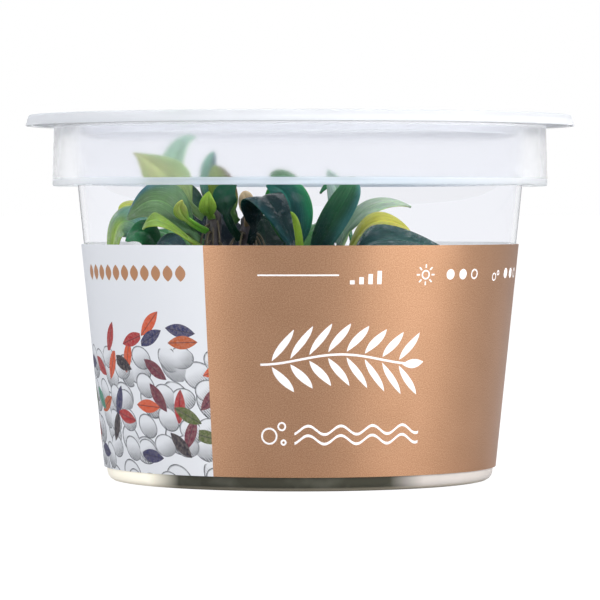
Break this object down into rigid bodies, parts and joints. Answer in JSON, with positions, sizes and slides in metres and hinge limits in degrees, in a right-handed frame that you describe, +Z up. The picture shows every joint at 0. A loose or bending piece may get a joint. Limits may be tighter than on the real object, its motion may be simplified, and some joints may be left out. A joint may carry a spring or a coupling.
{
  "type": "potted bucephalandra tissue culture cup",
  "caption": "Small leafy aquarium plants standing in culture gel inside a clear, lidded, tapered plastic cup with a wrap label.",
  "frame": {"origin": "centre of the cup's foot ring, on the surface that it stands on", "axes": "+Z up the cup's axis, -Y out of the front of the label, +X to the right seen from the front"},
  "size_m": [0.101, 0.101, 0.067],
  "materials": {
    "clear_plastic": "clear injection-moulded polypropylene, slightly milky in the collar",
    "label_print": "satin printed wrap label, metallic bronze field with a pale grey-white panel",
    "culture_gel": "cloudy greyish agar gel, wet",
    "stem": "purple-brown plant stem, satin",
    "leaf_dark": "glossy blue-green leaf",
    "leaf_green": "glossy mid green leaf",
    "leaf_bright": "glossy light green leaf, thin",
    "leaf_yellow": "yellow-green young leaf, thin",
    "leaf_pale": "pale grey-green leaf lit from behind",
    "leaf_dry": "dried beige leaf sheath, matte"
  },
  "bodies": {
    "root": {"cup": "clear_plastic", "lid": "clear_plastic", "label": "label_print", "gel": "culture_gel", "rhizome_1": "stem", "rhizome_2": "stem", "rhizome_3": "stem", "rhizome_4": "stem", "rhizome_5": "stem", "rhizome_6": "stem", "rhizome_7": "stem", "rhizome_8": "stem", "leaf_01": "leaf_pale", "leaf_02": "leaf_bright", "leaf_03": "leaf_green", "leaf_04": "leaf_green", "leaf_05": "leaf_yellow", "leaf_06": "leaf_bright", "leaf_07": "leaf_dark", "leaf_08": "leaf_bright", "leaf_09": "leaf_dark", "leaf_10": "leaf_bright", "leaf_11": "leaf_yellow", "leaf_12": "leaf_dark", "leaf_13": "leaf_dry", "leaf_14": "leaf_dark", "leaf_15": "leaf_dark", "leaf_16": "leaf_green", "leaf_17": "leaf_yellow", "leaf_18": "leaf_dark", "leaf_19": "leaf_pale", "leaf_20": "leaf_green", "leaf_21": "leaf_pale", "leaf_22": "leaf_yellow", "leaf_23": "leaf_dark", "leaf_24": "leaf_green", "leaf_25": "leaf_dark", "leaf_26": "leaf_dark", "leaf_27": "leaf_green", "leaf_28": "leaf_dark", "leaf_29": "leaf_green", "leaf_30": "leaf_dark", "leaf_31": "leaf_green", "leaf_32": "leaf_dark", "leaf_33": "leaf_dark", "leaf_34": "leaf_dark", "leaf_35": "leaf_green", "leaf_36": "leaf_dark", "leaf_37": "leaf_green", "leaf_38": "leaf_dark", "leaf_39": "leaf_bright", "leaf_40": "leaf_green", "leaf_41": "leaf_dark", "leaf_42": "leaf_bright", "leaf_43": "leaf_dark", "leaf_44": "leaf_green", "leaf_45": "leaf_green"}
  },
  "joints": []
}
